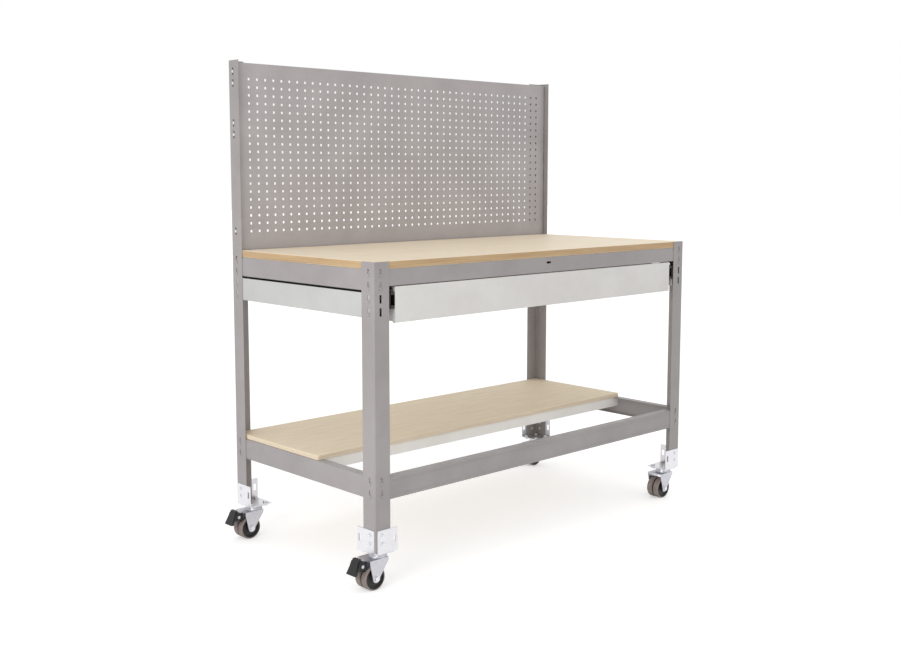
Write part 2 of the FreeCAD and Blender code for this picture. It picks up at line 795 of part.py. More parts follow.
def corner_bracket(side, end):
    """Plate under a post with an upturned ear on each of its outer faces."""
    low_x = bracket_outer_x - bracket_side
    low_y = bracket_outer_y - bracket_side
    top = bracket_underside + bracket_ear
    corner = ear_start + bracket_sheet
    plate_points = [
        (low_x, low_y), (bracket_outer_x, low_y), (bracket_outer_x, bracket_outer_y - corner),
        (half_width, half_depth - ear_start), (half_width - ear_start, half_depth),
        (bracket_outer_x - corner, bracket_outer_y), (low_x, bracket_outer_y), (low_x, low_y),
    ]
    outline = Part.makePolygon([Vector(x, y, bracket_underside) for x, y in plate_points])
    plate = Part.Face(outline).extrude(Vector(0, 0, bracket_sheet))
    back_ear = span((low_x, half_depth, bracket_underside), (half_width - ear_start, bracket_outer_y, top))
    side_ear = span((half_width, low_y, bracket_underside), (bracket_outer_x, half_depth - ear_start, top))
    bracket = plate.fuse([back_ear, side_ear]).removeSplitter()
    slot_middle = bracket_underside + ear_slot_height
    line_x = half_width - ear_slot_line
    line_y = half_depth - ear_slot_line
    low = slot_middle - ear_slot_length / 2
    high = slot_middle + ear_slot_length / 2
    near = ear_slot_width / 2
    bracket = bracket.cut(span((line_x - near, half_depth - overcut, low),
                               (line_x + near, bracket_outer_y + overcut, high)))
    bracket = bracket.cut(span((half_width - overcut, line_y - near, low),
                               (bracket_outer_x + overcut, line_y + near, high)))
    bracket = bracket.cut(bracket_holes(bracket_bolt / 2 + axle_fit))
    for x, y in caster_bolt_places():
        start = (x, y, bracket_underside)
        bracket = bracket.cut(rod(caster_bolt / 2 + axle_fit, start, (0, 0, 1), bracket_sheet))
    return mirrored(bracket, side, end)


def bracket_bolts():
    """Bolts that clamp the brackets' ears to the posts."""
    grip = bracket_sheet + post_sheet
    parts = []
    for rise in ear_bolt_rows:
        height = bracket_underside + rise
        parts.append(bolt(bracket_bolt, (half_width - slot_line, bracket_outer_y, height), (0, -1, 0), grip))
        parts.append(bolt(bracket_bolt, (bracket_outer_x, half_depth - slot_line, height), (-1, 0, 0), grip))
    return group([mirrored(part, SIDES[side], ENDS[end]) for end, side in CORNERS for part in parts])


def caster_bolts():
    """Bolts that join the casters' plates to the brackets."""
    grip = bracket_sheet + caster_plate_sheet
    parts = [bolt(caster_bolt, (x, y, post_foot), (0, 0, -1), grip) for x, y in caster_bolt_places()]
    return group([mirrored(part, SIDES[side], ENDS[end]) for end, side in CORNERS for part in parts])


# ---------------------------------------------------------------- casters
def at_corner(shape, side, end):
    """Moves a caster piece, made about its swivel axis, to its corner."""
    moved = shape.copy()
    moved.translate(Vector(side * caster_x, end * caster_y, 0))
    return moved


def caster_plate():
    """Top plate with its pressed race and the kingpin that carries the fork."""
    half = caster_plate_side / 2
    low = caster_height - caster_plate_sheet
    plate = span((-half, -half, low), (half, half, caster_height))
    uprights = [e for e in plate.Edges if abs(e.BoundBox.ZLength) > caster_plate_sheet / 2]
    plate = plate.makeFillet(board_corner, uprights)
    race_foot = Vector(0, 0, low - race_height)
    race = Part.makeCone(race_foot_diameter / 2, race_top_diameter / 2, race_height, race_foot)
    pin_foot = low - race_height - crown_height
    pin = rod(kingpin_diameter / 2, (0, 0, pin_foot), (0, 0, 1), crown_height)
    rivet = rod(kingpin_head / 2, (0, 0, pin_foot - fork_sheet), (0, 0, 1), fork_sheet)
    plate = plate.fuse([race, pin, rivet]).removeSplitter()
    reach = caster_bolt_pitch / 2
    for u in (-1, 1):
        for v in (-1, 1):
            plate = plate.cut(rod(caster_bolt / 2 + axle_fit, (u * reach, v * reach, low), (0, 0, 1),
                                  caster_plate_sheet))
    return plate


def fork_leg(crown_foot):
    """Fork's leg, seen from the side: wide at the crown, round at the axle."""
    boss = fork_boss / 2
    top = crown_foot + fork_sheet
    points = [
        Vector(-fork_rear, 0, top),
        Vector(fork_front, 0, top),
        Vector(fork_front, 0, crown_foot - fork_apron),
        Vector(-caster_trail + boss, 0, axle_height),
        Vector(-caster_trail - boss, 0, axle_height),
        Vector(-fork_rear, 0, crown_foot - fork_apron),
        Vector(-fork_rear, 0, top),
    ]
    leg = Part.Face(Part.makePolygon(points)).extrude(Vector(0, fork_sheet, 0))
    return leg.fuse(rod(boss, (-caster_trail, 0, axle_height), (0, 1, 0), fork_sheet))


def pedal_tongue(crown_foot):
    """Tongue in front of the crown, its sides folded down to carry the pedal's pin."""
    edge = tongue_width / 2
    half_side = tongue_side / 2
    top = crown_foot + fork_sheet
    pieces = [span((-fork_rear, -edge, crown_foot), (-tongue_reach, edge, top))]
    for start in (-edge, edge - fork_sheet):
        far = start + fork_sheet
        foot = pedal_pivot_height - half_side
        side = span((-tongue_root, start, foot), (-tongue_reach, far, top))
        nose = span((-tongue_root, start, foot), (-pedal_pivot_reach, far, foot + tongue_side))
        end = rod(half_side, (-pedal_pivot_reach, start, pedal_pivot_height), (0, 1, 0), fork_sheet)
        pieces += [side, nose, end]
    pin_reach = edge + pedal_gap + pedal_wall
    for way in (-1, 1):
        start = (-pedal_pivot_reach, way * pin_reach, pedal_pivot_height)
        pieces.append(headed_pin(pedal_pin, pedal_pin_head, pedal_pin_rise, start, (0, -way, 0), pin_reach))
    return pieces


def caster_fork(braked):
    """Bent fork: round crown on the race, a leg on each side of the wheel."""
    crown_top = caster_height - caster_plate_sheet - race_height - swivel_gap
    crown_foot = crown_top - crown_height + 2 * swivel_gap
    bridge_top = crown_foot + fork_sheet
    fork = rod(crown_diameter / 2, (0, 0, bridge_top), (0, 0, 1), crown_top - bridge_top)
    bridge = span((-fork_rear, -fork_outer, crown_foot), (fork_front, fork_outer, bridge_top))
    legs = [fork_leg(crown_foot), fork_leg(crown_foot)]
    legs[0].translate(Vector(0, -fork_outer, 0))
    legs[1].translate(Vector(0, fork_inner, 0))
    carriers = pedal_tongue(crown_foot) if braked else []
    fork = fork.fuse([bridge] + legs + carriers).removeSplitter()
    fork = fork.cut(rod(kingpin_diameter / 2 + axle_fit, (0, 0, crown_foot), (0, 0, 1), crown_height))
    return fork.cut(rod(axle_diameter / 2 + axle_fit, (-caster_trail, -fork_outer, axle_height), (0, 1, 0),
                        2 * fork_outer))


def caster_axle():
    """Axle bolt through fork and wheel, with its nut."""
    start = (-caster_trail, -fork_outer, axle_height)
    return bolt(axle_diameter, start, (0, 1, 0), 2 * fork_outer)


def wheel_core():
    """Wheel centre with dished faces, a hub and a seat for each tread."""
    radius = wheel_diameter / 2 - tread_thickness
    half = tread_total / 2
    hub_half = fork_inner - hub_gap
    bore = axle_diameter / 2 + axle_fit
    dish = radius - wheel_dish
    points = [
        (bore, -hub_half), (hub_diameter / 2, -hub_half), (hub_diameter / 2, -half + wheel_dish),
        (dish, -half + wheel_dish), (dish, -half), (radius, -half), (radius, -tread_groove / 2),
        (radius + tread_thickness / 2, -tread_groove / 2),
    ]
    points += [(r, -y) for r, y in reversed(points)]
    points.append(points[0])
    profile = Part.makePolygon([Vector(r, y, 0) for r, y in points])
    core = Part.Face(profile).revolve(Vector(), Vector(0, 1, 0), 360)
    core.translate(Vector(-caster_trail, 0, axle_height))
    return core


def wheel_treads():
    """Two soft tyres with bevelled shoulders."""
    inner = wheel_diameter / 2 - tread_thickness
    outer = wheel_diameter / 2
    rings = []
    for near, far in ((tread_groove / 2, tread_total / 2), (-tread_total / 2, -tread_groove / 2)):
        points = [
            (inner, near), (outer - tread_shoulder, near), (outer, near + tread_shoulder),
            (outer, far - tread_shoulder), (outer - tread_shoulder, far), (inner, far), (inner, near),
        ]
        profile = Part.makePolygon([Vector(r, y, 0) for r, y in points])
        ring = Part.Face(profile).revolve(Vector(), Vector(0, 1, 0), 360)
        ring.translate(Vector(-caster_trail, 0, axle_height))
        rings.append(ring)
    return group(rings)


def prism_across(points, low, high):
    """Solid with the side view given by points, from low to high across the caster."""
    outline = [Vector(x, low, z) for x, z in points + points[:1]]
    return Part.Face(Part.makePolygon(outline)).extrude(Vector(0, high - low, 0))


def pedal_pad_solid():
    """Sloping pad that widens from its top edge to its tip."""
    sections = []
    for reach, height, width in ((pedal_top_reach, pedal_top_height, pedal_top_width),
                                 (pedal_reach, pedal_tip_height, pedal_tip_width)):
        near = -reach + pedal_pad
        corners = [(-reach, -width / 2), (near, -width / 2), (near, width / 2), (-reach, width / 2)]
        sections.append(Part.makePolygon([Vector(x, y, height) for x, y in corners + corners[:1]]))
    return Part.makeLoft(sections, True, True)


def brake_pedal():
    """Foot lever on the fork's tongue: pad, a cheek outside each side and a cam on the treads."""
    pivot_x = -pedal_pivot_reach
    pivot_z = pedal_pivot_height
    cheek_inner = tongue_width / 2 + pedal_gap
    cheek_outer = cheek_inner + pedal_wall
    web_reach = tongue_width / 2 - fork_sheet - pedal_gap
    slope = (pedal_reach - pedal_top_reach) / (pedal_top_height - pedal_tip_height)
    rise = pivot_z + pedal_cheek_rise
    drop = pivot_z - pedal_cheek_drop
    cheek = [
        (pivot_x + pedal_cheek_reach, rise),
        (-pedal_top_reach - slope * (pedal_top_height - rise) + pedal_wall, rise),
        (-pedal_top_reach - slope * (pedal_top_height - drop) + pedal_wall, drop),
        (pivot_x + pedal_cheek_reach, drop),
    ]
    body = pedal_pad_solid().fuse([
        prism_across(cheek, -cheek_outer, -cheek_inner),
        prism_across(cheek, cheek_inner, cheek_outer),
    ])
    front_x = pivot_x - tongue_side / 2 - pedal_gap
    bridge = [
        (front_x, rise),
        (cheek[1][0], rise),
        (cheek[2][0], drop),
        (front_x, drop),
    ]
    web = [(front_x - overcut, pivot_z - pedal_wall), (pivot_x, pivot_z - pedal_wall),
           (pivot_x, pivot_z + pedal_wall), (front_x - overcut, pivot_z + pedal_wall)]
    to_wheel = Vector(-caster_trail - pivot_x, 0, axle_height - pivot_z)
    cam_reach = to_wheel.Length - wheel_diameter / 2 - pedal_gap
    cam = span((-pedal_cam / 2, -web_reach, 0), (pedal_cam / 2, web_reach, cam_reach))
    cam = cam.common(rod(cam_reach, (0, -web_reach, 0), (0, 1, 0), 2 * web_reach))
    cam.rotate(Vector(), Vector(0, 1, 0), math.degrees(math.atan2(to_wheel.x, to_wheel.z)))
    cam.translate(Vector(pivot_x, 0, pivot_z))
    cross_walls = [prism_across(bridge, -cheek_outer, cheek_outer), prism_across(web, -web_reach, web_reach)]
    pedal = body.fuse(cross_walls + [cam]).removeSplitter()
    bore = rod(pedal_pin / 2 + axle_fit, (pivot_x, -cheek_outer, pivot_z), (0, 1, 0), 2 * cheek_outer)
    return pedal.cut(bore)


# ---------------------------------------------------------------- the whole table
def build():
    """Every node's shape by name."""
    nodes = {}
    for end, side in CORNERS:
        nodes[f"post_{end}_{side}"] = post(SIDES[side], ENDS[end])
    top = worktop_underside
    low = lower_beam_top
    wide = beam_top_flange
    front = cross_beam(-1, top, front_beam_drop, wide, beam_rows)
    nodes["upper_beam_front"] = front.cut(front_beam_slot())
    nodes["upper_beam_back"] = cross_beam(1, top, upper_beam_drop, panel_beam_flange, beam_rows)
    nodes["lower_beam_front"] = cross_beam(-1, low - lower_front_step, lower_beam_drop, wide, lower_beam_rows)
    nodes["lower_beam_back"] = cross_beam(1, low, lower_beam_drop, wide, lower_beam_rows)
    for side, sign in SIDES.items():
        upper = side_beam(sign, top, upper_beam_drop, wide, panel_beam_flange, beam_rows)
        nodes[f"upper_beam_{side}"] = upper
        lower = side_beam(sign, low, lower_beam_drop, wide, wide, lower_beam_rows)
        nodes[f"lower_beam_{side}"] = lower.cut(support_screw_cutters())
    for name in ("upper_beam_front", "upper_beam_back", "lower_beam_back"):
        nodes[name] = nodes[name].cut(board_screw_cutters())
    nodes["shelf_support_beam"] = shelf_support_beam()
    nodes["worktop_board"] = worktop_board()
    nodes["lower_shelf_board"] = lower_shelf_board()
    nodes["pegboard_panel"] = pegboard_panel()
    nodes["pegboard_screws"] = pegboard_screws()
    nodes["beam_rivets"] = beam_rivets()
    nodes["board_screws"] = board_screws()
    nodes["support_screws"] = support_screws()
    nodes["slide_screws"] = slide_screws()
    nodes["drawer_tray"] = drawer_tray()
    nodes["drawer_front"] = drawer_front()
    nodes["drawer_screws"] = drawer_screws()
    nodes["bracket_bolts"] = bracket_bolts()
    nodes["caster_bolts"] = caster_bolts()
    for side, sign in SIDES.items():
        nodes[f"drawer_hanger_{side}"] = drawer_hanger(sign)
        nodes[f"slide_outer_{side}"] = slide_outer(sign)
        nodes[f"slide_middle_{side}"] = slide_middle(sign)
        nodes[f"slide_inner_{side}"] = slide_inner(sign)
    for end, side in CORNERS:
        braked = side == "left"
        pieces = {
            "caster_plate": caster_plate(),
            "caster_fork": caster_fork(braked),
            "caster_axle": caster_axle(),
            "wheel_core": wheel_core(),
            "wheel_treads": wheel_treads(),
        }
        if braked:
            pieces["brake_pedal"] = brake_pedal()
        nodes[f"corner_bracket_{end}_{side}"] = corner_bracket(SIDES[side], ENDS[end])
        for name, shape in pieces.items():
            nodes[f"{name}_{end}_{side}"] = at_corner(shape, SIDES[side], ENDS[end])
    return nodes


os.makedirs("parts", exist_ok=True)
for node_name, node_shape in build().items():
    node_shape.translate(Vector(footprint_shift, 0, 0))
    node_shape.exportStep(f"parts/{node_name}.step")
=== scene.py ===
import bmesh
import bpy
import json
import math
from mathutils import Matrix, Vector


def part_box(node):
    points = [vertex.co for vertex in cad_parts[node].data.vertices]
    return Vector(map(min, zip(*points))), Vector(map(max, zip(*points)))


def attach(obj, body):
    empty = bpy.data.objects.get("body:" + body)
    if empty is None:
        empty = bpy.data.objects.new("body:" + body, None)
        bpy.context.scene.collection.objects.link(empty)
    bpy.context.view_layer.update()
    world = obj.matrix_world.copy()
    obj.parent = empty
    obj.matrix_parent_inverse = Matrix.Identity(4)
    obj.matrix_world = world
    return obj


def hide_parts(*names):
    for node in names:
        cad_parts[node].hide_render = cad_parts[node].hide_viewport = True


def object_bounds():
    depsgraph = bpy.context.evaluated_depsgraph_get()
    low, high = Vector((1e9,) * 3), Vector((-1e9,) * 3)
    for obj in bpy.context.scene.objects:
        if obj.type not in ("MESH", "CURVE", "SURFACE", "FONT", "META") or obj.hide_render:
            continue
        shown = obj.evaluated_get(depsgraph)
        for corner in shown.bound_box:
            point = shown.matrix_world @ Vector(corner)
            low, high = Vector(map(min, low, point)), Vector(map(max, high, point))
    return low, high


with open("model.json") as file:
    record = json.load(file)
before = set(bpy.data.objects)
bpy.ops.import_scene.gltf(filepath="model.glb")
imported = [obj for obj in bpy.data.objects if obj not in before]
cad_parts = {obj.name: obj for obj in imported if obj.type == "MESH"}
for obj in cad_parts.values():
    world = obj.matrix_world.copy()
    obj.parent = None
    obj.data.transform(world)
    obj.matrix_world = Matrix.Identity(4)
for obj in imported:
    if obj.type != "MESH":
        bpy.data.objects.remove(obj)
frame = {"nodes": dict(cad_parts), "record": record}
cad_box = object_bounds()

# A mobile assembly table.  The frame, boards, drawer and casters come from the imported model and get
# their finishes here; the back panel, the drawer's hangers, the slides' outer members, most of the
# fasteners, the axles and the wheels are modelled here.
# Metres; the table's front faces -Y and it stands on Z = 0.

SIDES = ("left", "right")
ENDS = ("front", "back")
CORNERS = [f"{end}_{side}" for end in ENDS for side in SIDES]

# ------------------------------------------------------------------ sizes
MM = 0.001
near = 0.5 * MM                 # places closer than this are the same place
hair = 0.001 * MM               # and so are points of one mesh
cad_weld = 0.002 * MM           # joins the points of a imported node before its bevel
edge_turn = 35                  # degrees; edges that turn further are bevelled
edge_segments = 2
smooth_turn = 30                # degrees; edges that turn less are shaded smooth

peg_columns = 44
peg_rows = 20
peg_pitch_x = 32.4 * MM
peg_pitch_z = 26.25 * MM
peg_hole = 7.5 * MM
peg_top_margin = 52 * MM        # top row below the panel's top
peg_weld = 0.1 * MM             # joins the cells of the grid
panel_sheet = 1.5 * MM
panel_fold = 2 * MM             # radius of its folds
fold_segments = 3

hanger_lift = 5 * MM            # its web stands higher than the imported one
hanger_leg = 58 * MM            # height of the inner leg that carries the slide
hanger_sheet = 1.5 * MM         # also of the outer rail
fold_round = 2.2 * MM           # radius of the folds of both
rail_overhang = 8 * MM          # past the hanger's back end

tread_depth = 4.5 * MM
tread_round = 3.5 * MM          # radius of its shoulders
wheel_bore = 5.05 * MM          # radius
hub_radius = 12 * MM
core_dish = 4 * MM
core_round = 1.2 * MM
spin_steps = 72
arc_steps = 6                   # in a quarter round
lathe_weld = 0.01 * MM          # joins a turned piece where it closes

stud_rise = 1.8 * MM            # height of a domed head
stud_shank = 3 * MM             # radius
dome_start = 0.45               # where the dome begins, below its top, as a share of the rise
dome_rings = ((0.18, 0.22), (0.27, 0.16), (0.30, 0.07))     # inset, by the radius; lift, by the rise
facing_up = 0.9                 # least Z of the normal of a face that looks up
screw_drive = 2.2 * MM / 3      # depth of the recess in a panel screw
drive_inset = 0.02              # its edge, as a share of the head's radius
head_share = 0.6                # height of a hex head as a share of its shank
flats_share = 1.6               # its width across flats as a share of the shank
hex_bevel = 0.06                # its bevel as a share of the shank
washer_sheet = 0.8 * MM
washer_share = 1.08             # its radius as a share of the hex's over corners
washer_bevel = 0.25             # as a share of the sheet
hex_sides = 6
disc_sides = 24
washer_sides = 32

# ------------------------------------------------------------------ camera and light values
camera_place = (-2.7738, -2.8710, 1.2290)
camera_turn = 43.14             # degrees to the right of +Y
camera_dip = 6.37               # degrees below the horizon
camera_lens = 45.36             # millimetres
camera_sensor = 36              # millimetres
camera_shift = (0.0021, -0.0276)

side_light_place = (-2.9, -1.0, 1.15)
side_light_size = 1.3
side_light_power = 19.0
ambient = 0.86                  # what the white surroundings give the table
floor_size = 60
floor_white = 0.86
floor_glow = 0.40               # of the floor towards the camera and in reflections


# ------------------------------------------------------------------ finishes
def srgb(red, green, blue):
    """Linear colour from 8-bit screen values."""
    def straight(value):
        share = value / 255
        return share / 12.92 if share <= 0.04045 else ((share + 0.055) / 1.055) ** 2.4
    return (straight(red), straight(green), straight(blue), 1.0)


class Finish:
    """A material under construction: its node tree and its main shader."""

    def __init__(self, name):
        self.material = bpy.data.materials.new(name)
        self.material.use_nodes = True
        self.tree = self.material.node_tree
        self.shader = self.tree.nodes["Principled BSDF"]
        self.place = self.tree.nodes.new("ShaderNodeTexCoord").outputs["Object"]
        self.normals = []

    def set(self, **values):
        """Constant values on the shader's own sockets."""
        for name, value in values.items():
            self.shader.inputs[name.replace("_", " ")].default_value = value

    def link(self, source, target):
        self.tree.links.new(source, target)

    def stretched(self, scale):
        """Object coordinates with their own scale along each axis."""
        mapping = self.tree.nodes.new("ShaderNodeMapping")
        mapping.inputs["Scale"].default_value = scale
        self.link(self.place, mapping.inputs["Vector"])
        return mapping.outputs["Vector"]

    def noise(self, scale, detail=2.0, roughness=0.5, place=None, distortion=0.0):
        node = self.tree.nodes.new("ShaderNodeTexNoise")
        node.inputs["Scale"].default_value = scale
        node.inputs["Detail"].default_value = detail
        node.inputs["Roughness"].default_value = roughness
        node.inputs["Distortion"].default_value = distortion
        self.link(place or self.place, node.inputs["Vector"])
        return node.outputs["Fac"]

    def cells(self, scale):
        """Random grey per cell of a Voronoi pattern."""
        node = self.tree.nodes.new("ShaderNodeTexVoronoi")
        node.inputs["Scale"].default_value = scale
        self.link(self.place, node.inputs["Vector"])
        split = self.tree.nodes.new("ShaderNodeSeparateColor")
        self.link(node.outputs["Color"], split.inputs["Color"])
        return split.outputs["Red"]

    def ramp(self, source, low, high, start=0.0, end=1.0):
        """source from start to end, spread over low to high."""
        node = self.tree.nodes.new("ShaderNodeMapRange")
        node.inputs["From Min"].default_value = low
        node.inputs["From Max"].default_value = high
        node.inputs["To Min"].default_value = start
        node.inputs["To Max"].default_value = end
        self.link(source, node.inputs["Value"])
        return node.outputs["Result"]

    def blend(self, share, first, second):
        """Two colours, or colour outputs, mixed by share."""
        node = self.tree.nodes.new("ShaderNodeMix")
        node.data_type = "RGBA"
        self.link(share, node.inputs["Factor"])
        for socket, value in (("A", first), ("B", second)):
            target = next(s for s in node.inputs if s.identifier == f"{socket}_Color")
            if isinstance(value, tuple):
                target.default_value = value
            else:
                self.link(value, target)
        return next(s for s in node.outputs if s.identifier == "Result_Color")

    def facing(self, axis):
        """How far the surface faces along an axis of the object, without sign."""
        normal = self.tree.nodes.new("ShaderNodeTexCoord").outputs["Normal"]
        split = self.tree.nodes.new("ShaderNodeSeparateXYZ")
        self.link(normal, split.inputs["Vector"])
        size = self.tree.nodes.new("ShaderNodeMath")
        size.operation = "ABSOLUTE"
        self.link(split.outputs[axis], size.inputs[0])
        return size.outputs["Value"]

    def colour(self, source):
        self.link(source, self.shader.inputs["Base Color"])

    def roughness(self, source):
        self.link(source, self.shader.inputs["Roughness"])

    def bump(self, height, depth, strength=1.0):
        """Adds a bump of the given depth in metres on top of those before it."""
        node = self.tree.nodes.new("ShaderNodeBump")
        node.inputs["Strength"].default_value = strength
        node.inputs["Distance"].default_value = depth
        self.link(height, node.inputs["Height"])
        if self.normals:
            self.link(self.normals[-1], node.inputs["Normal"])
        self.normals.append(node.outputs["Normal"])
        self.link(node.outputs["Normal"], self.shader.inputs["Normal"])


def powder_coat(name, pale, deep, rough):
    """Baked powder coat: slight cloudiness, orange peel and uneven gloss."""
    coat = Finish(name)
    clouds = coat.noise(6.0, 4.0, 0.6)
    grains = coat.noise(900.0, 2.0, 0.6)
    mixed = coat.blend(coat.ramp(clouds, 0.35, 0.65), deep, pale)
    coat.colour(coat.blend(coat.ramp(grains, 0.45, 0.75, 0.0, 0.18), mixed, pale))
    coat.roughness(coat.ramp(coat.noise(35.0, 3.0, 0.6), 0.3, 0.7, rough - 0.06, rough + 0.06))
    coat.set(IOR=1.48)
    coat.bump(coat.noise(650.0, 2.0, 0.5), 0.06 * MM)
    return coat.material


def board_colour(wood, face, deep_edge, pale_edge):
    """Its face's colour above and below, and layered sawn edges all round."""
    layers = wood.noise(1.0, 3.0, 0.6, wood.stretched((5.0, 5.0, 520.0)))
    edge = wood.blend(wood.ramp(layers, 0.35, 0.65), deep_edge, pale_edge)
    wood.colour(wood.blend(wood.ramp(wood.facing("Z"), 0.45, 0.75), edge, face))


def worktop_wood():
    """Pale lacquered board: long streaks along the table, fine pores and darker sawn edges."""
    wood = Finish("worktop_wood")
    along = wood.stretched((1.6, 26.0, 26.0))
    streaks = wood.noise(3.0, 6.0, 0.62, along, 0.4)
    fine = wood.noise(1.0, 4.0, 0.7, wood.stretched((14.0, 420.0, 420.0)))
    patches = wood.noise(2.2, 3.0, 0.5)
    pale = wood.blend(wood.ramp(streaks, 0.32, 0.68), srgb(247, 224, 190), srgb(255, 246, 226))
    warm = wood.blend(wood.ramp(patches, 0.3, 0.7, 0.0, 0.45), pale, srgb(252, 236, 208))
    face = wood.blend(wood.ramp(fine, 0.50, 0.78, 0.0, 0.30), warm, srgb(222, 192, 152))
    board_colour(wood, face, srgb(178, 146, 106), srgb(203, 173, 132))
    wood.roughness(wood.ramp(streaks, 0.3, 0.7, 0.42, 0.56))
    wood.set(IOR=1.46)
    wood.bump(fine, 0.12 * MM, 0.6)
    wood.bump(streaks, 0.1 * MM, 0.4)
    return wood.material


def shelf_wood():
    """Paler raw board of the lower shelf, with a light sawn edge."""
    wood = Finish("shelf_wood")
    streaks = wood.noise(3.0, 6.0, 0.62, wood.stretched((2.0, 24.0, 24.0)), 0.5)
    flecks = wood.noise(1.0, 3.0, 0.7, wood.stretched((60.0, 330.0, 330.0)))
    patches = wood.noise(3.0, 3.0, 0.5)
    pale = wood.blend(wood.ramp(streaks, 0.32, 0.68), srgb(229, 211, 183), srgb(246, 231, 206))
    warm = wood.blend(wood.ramp(patches, 0.3, 0.7, 0.0, 0.5), pale, srgb(236, 219, 188))
    face = wood.blend(wood.ramp(flecks, 0.52, 0.80, 0.0, 0.30), warm, srgb(206, 184, 150))
    board_colour(wood, face, srgb(216, 196, 168), srgb(238, 223, 200))
    wood.roughness(wood.ramp(streaks, 0.3, 0.7, 0.55, 0.68))
    wood.bump(flecks, 0.14 * MM, 0.6)
    return wood.material


def zinc_plate(name, rough, pale=srgb(229, 229, 233), deep=srgb(207, 207, 214)):
    """Bright zinc plating: faint spangles, hair scratches and cloudy gloss."""
    zinc = Finish(name)
    spangle = zinc.cells(260.0)
    clouds = zinc.noise(40.0, 4.0, 0.6)
    zinc.colour(zinc.blend(zinc.ramp(spangle, 0.0, 1.0, 0.0, 0.35), pale, deep))
    zinc.roughness(zinc.ramp(clouds, 0.3, 0.7, rough - 0.07, rough + 0.09))
    zinc.set(Metallic=1.0)
    scratches = zinc.noise(1.0, 2.0, 0.5, zinc.stretched((900.0, 900.0, 40.0)))
    zinc.bump(scratches, 0.04 * MM, 0.5)
    return zinc.material


def slide_coat():
    """Black coating of the telescopic slides, worn to a slight sheen."""
    coat = Finish("black_slide_coat")
    worn = coat.noise(1.0, 3.0, 0.6, coat.stretched((300.0, 12.0, 300.0)))
    coat.colour(coat.blend(coat.ramp(worn, 0.45, 0.75), srgb(26, 23, 21), srgb(56, 52, 49)))
    coat.roughness(coat.ramp(worn, 0.3, 0.7, 0.32, 0.46))
    coat.set(IOR=1.5)
    return coat.material


def moulded_plastic(name, deep, pale, rough):
    """Moulded plastic with a spark-eroded grain."""
    plastic = Finish(name)
    grain = plastic.noise(1400.0, 2.0, 0.5)
    clouds = plastic.noise(28.0, 3.0, 0.5)
    plastic.colour(plastic.blend(plastic.ramp(clouds, 0.35, 0.65), deep, pale))
    plastic.roughness(plastic.ramp(grain, 0.3, 0.7, rough - 0.05, rough + 0.07))
    plastic.set(IOR=1.5)
    plastic.bump(grain, 0.08 * MM, 0.6)
    return plastic.material


def tread_rubber():
    """Grey-brown soft tread, dusty at its running surface."""
    rubber = Finish("grey_tread")
    dust = rubber.noise(55.0, 5.0, 0.65)
    grain = rubber.noise(1100.0, 2.0, 0.6)
    rubber.colour(rubber.blend(rubber.ramp(dust, 0.35, 0.68), srgb(126, 114, 110), srgb(152, 140, 134)))
    rubber.roughness(rubber.ramp(dust, 0.3, 0.7, 0.58, 0.74))
    rubber.bump(grain, 0.1 * MM, 0.6)
    return rubber.material


finishes = {
    "grey_powder_coat": powder_coat("grey_powder_coat", srgb(164, 159, 158), srgb(155, 149, 149), 0.42),
    "grey_panel_coat": powder_coat("grey_panel_coat", srgb(178, 173, 173), srgb(168, 163, 163), 0.46),
    "worktop_wood": worktop_wood(),
    "shelf_wood": shelf_wood(),
    "white_powder_coat": powder_coat("white_powder_coat", srgb(225, 223, 219), srgb(216, 213, 209), 0.40),
    "black_slide_coat": slide_coat(),
    "zinc_plate": zinc_plate("zinc_plate", 0.34),
    "zinc_fastener": zinc_plate("zinc_fastener", 0.28),
    "black_wheel_plastic": moulded_plastic("black_wheel_plastic", srgb(15, 14, 14), srgb(27, 25, 25), 0.46),
    "grey_tread": tread_rubber(),
    "black_pedal_plastic": moulded_plastic("black_pedal_plastic", srgb(9, 9, 10), srgb(20, 20, 22), 0.48),
}

# Finishes that differ from the one of their slot, for pieces and for imported nodes: a darker white coat on
# the hangers as painted shade, a whiter one on the shelf support beam as painted light, and darker zinc on
# the casters.
# Painted shade: the hangers' white powder coat, darkened.
hanger_painted_shade_coat = powder_coat("white_coat_hanger_painted_shade", srgb(198, 198, 197), srgb(190, 190, 189), 0.44)
caster_zinc = zinc_plate("zinc_plate_caster", 0.36, srgb(206, 206, 212), srgb(178, 178, 186))
own_finishes = {
    "support_screws": finishes["grey_powder_coat"],
    # Painted light: the support beam's white powder coat, lightened against the shade under the shelf.
    "shelf_support_beam": powder_coat("pale_coat_support_painted_light", srgb(250, 247, 242), srgb(242, 238, 232), 0.44),
}
for corner in CORNERS:
    own_finishes[f"caster_fork_{corner}"] = caster_zinc
    own_finishes[f"caster_plate_{corner}"] = caster_zinc

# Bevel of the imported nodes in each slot; the nodes of other slots stay sharp.
edge_width = {
    "worktop_wood": 0.9 * MM,
    "shelf_wood": 0.7 * MM,
    "grey_powder_coat": 0.5 * MM,
    "white_powder_coat": 0.4 * MM,
    "zinc_plate": 0.4 * MM,
    "black_pedal_plastic": 0.8 * MM,
}


def bevel_edges(piece, width):
    """Adds a live bevel of every edge that turns further than edge_turn."""
    bevel = piece.modifiers.new("edges", "BEVEL")
    bevel.width = width
    bevel.segments = edge_segments
    bevel.limit_method = "ANGLE"
    bevel.angle_limit = math.radians(edge_turn)


def dress_cad_nodes():
    """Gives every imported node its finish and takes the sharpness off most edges."""
    slots = {row["node"]: row["material_slot"] for row in frame["record"]["subparts"]}
    for name, node in frame["nodes"].items():
        slot = slots[name]
        node.data.materials.clear()
        node.data.materials.append(own_finishes.get(name, finishes[slot]))
        # The brackets stay sharp too, because a bevel leaves dark slits around their bolt holes.
        if slot not in edge_width or name.startswith("corner_bracket"):
            continue
        weld = node.modifiers.new("weld", "WELD")
        weld.merge_threshold = cad_weld
        bevel_edges(node, edge_width[slot])


# ------------------------------------------------------------------ modelling helpers
def deselect():
    bpy.ops.object.select_all(action="DESELECT")


